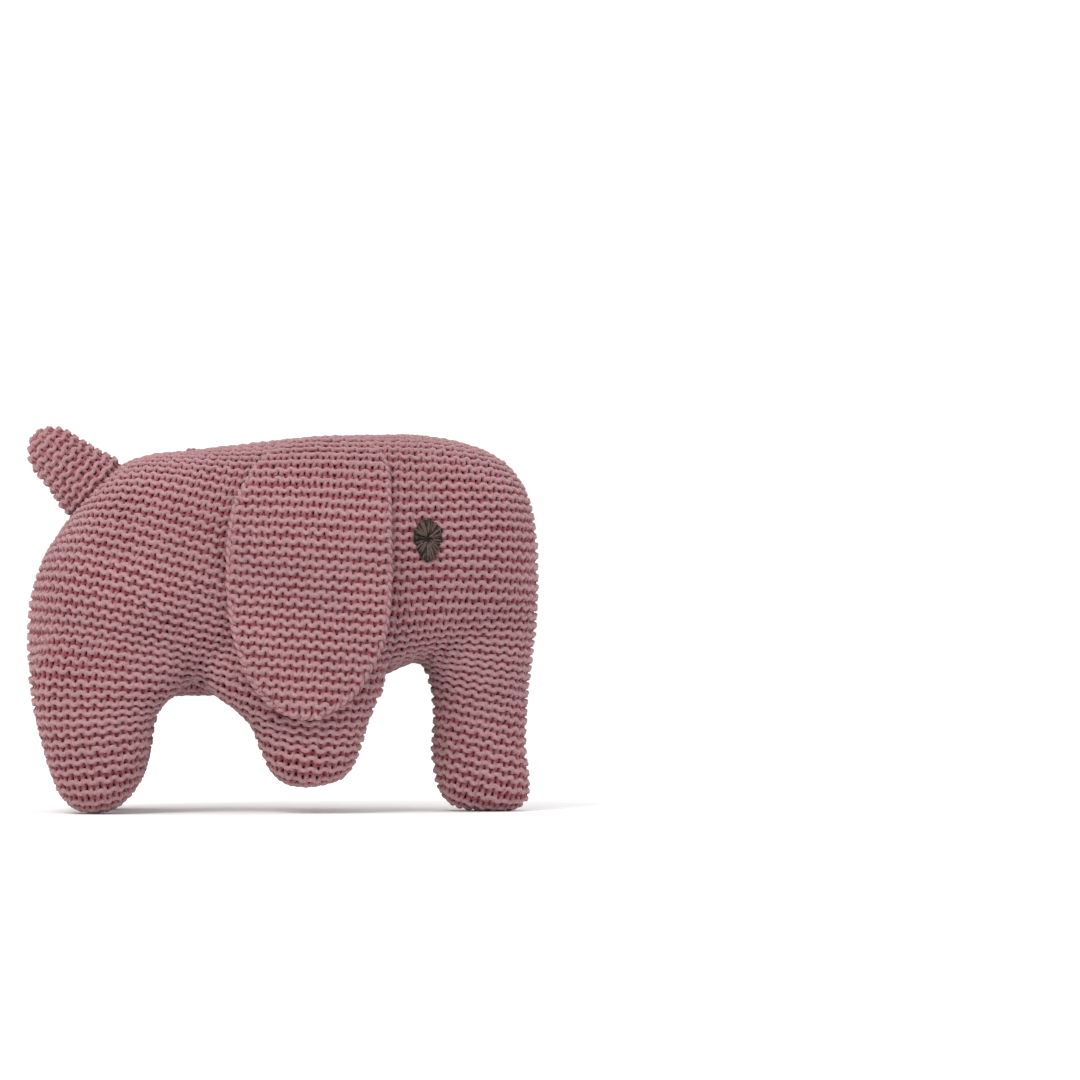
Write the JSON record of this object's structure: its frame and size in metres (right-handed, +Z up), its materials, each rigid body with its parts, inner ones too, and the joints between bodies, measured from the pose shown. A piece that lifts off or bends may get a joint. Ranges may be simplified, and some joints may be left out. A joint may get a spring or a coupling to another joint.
{
  "type": "knitted stuffed elephant",
  "caption": "Standing stuffed elephant knitted in ridged garter stitch, with a long trunk, large hanging ears, lobed legs, a blunt raised tail and embroidered eyes.",
  "frame": {"origin": "middle of the toy's footprint, on the surface it stands on", "axes": "+X towards the trunk, +Z up, the toy's right side faces -Y"},
  "size_m": [0.2036, 0.0974, 0.154],
  "materials": {
    "pink_knit": "matte garter-stitch knit in dusty pink cotton yarn",
    "seam_yarn": "matte sewing ends of the same pink yarn, in shade",
    "fibre_filling": "white polyester fibre filling",
    "eye_yarn": "satin stitches in dark grey-brown yarn"
  },
  "bodies": {
    "toy_body": {"side_panel_right": "pink_knit", "side_panel_left": "pink_knit", "underbody_gusset": "pink_knit", "spine_seam": "seam_yarn", "trunk_back_seam": "seam_yarn", "gusset_seam_right": "seam_yarn", "gusset_seam_left": "seam_yarn", "seam_knot": "seam_yarn", "ear_right_root_seam": "seam_yarn", "ear_left_root_seam": "seam_yarn", "tail_root_seam": "seam_yarn", "body_stuffing": "fibre_filling", "head_stuffing": "fibre_filling", "trunk_stuffing": "fibre_filling", "front_right_leg_stuffing": "fibre_filling", "front_left_leg_stuffing": "fibre_filling", "rear_right_leg_stuffing": "fibre_filling", "rear_left_leg_stuffing": "fibre_filling", "eye_right": "eye_yarn", "eye_left": "eye_yarn"},
    "ear_right": {"ear_right_outer": "pink_knit", "ear_right_lining": "pink_knit", "ear_right_rim_seam": "seam_yarn"},
    "ear_left": {"ear_left_outer": "pink_knit", "ear_left_lining": "pink_knit", "ear_left_rim_seam": "seam_yarn"},
    "tail": {"tail_cover": "pink_knit", "tail_stuffing": "fibre_filling"}
  },
  "joints": [
    {"name": "ear_right_lift", "type": "hinge", "parent": "toy_body", "child": "ear_right", "pos_m": [0.0095, -0.0255, 0.1462], "axis": [-1, 0, 0], "range_deg": [0, 95]},
    {"name": "ear_left_lift", "type": "hinge", "parent": "toy_body", "child": "ear_left", "pos_m": [0.0095, 0.0255, 0.1462], "axis": [1, 0, 0], "range_deg": [0, 95]},
    {"name": "tail_flex", "type": "hinge", "parent": "toy_body", "child": "tail", "pos_m": [-0.0785, 0, 0.1315], "axis": [0, 1, 0], "range_deg": [-22, 22], "stiffness_Nm_per_rad": 0.06}
  ]
}
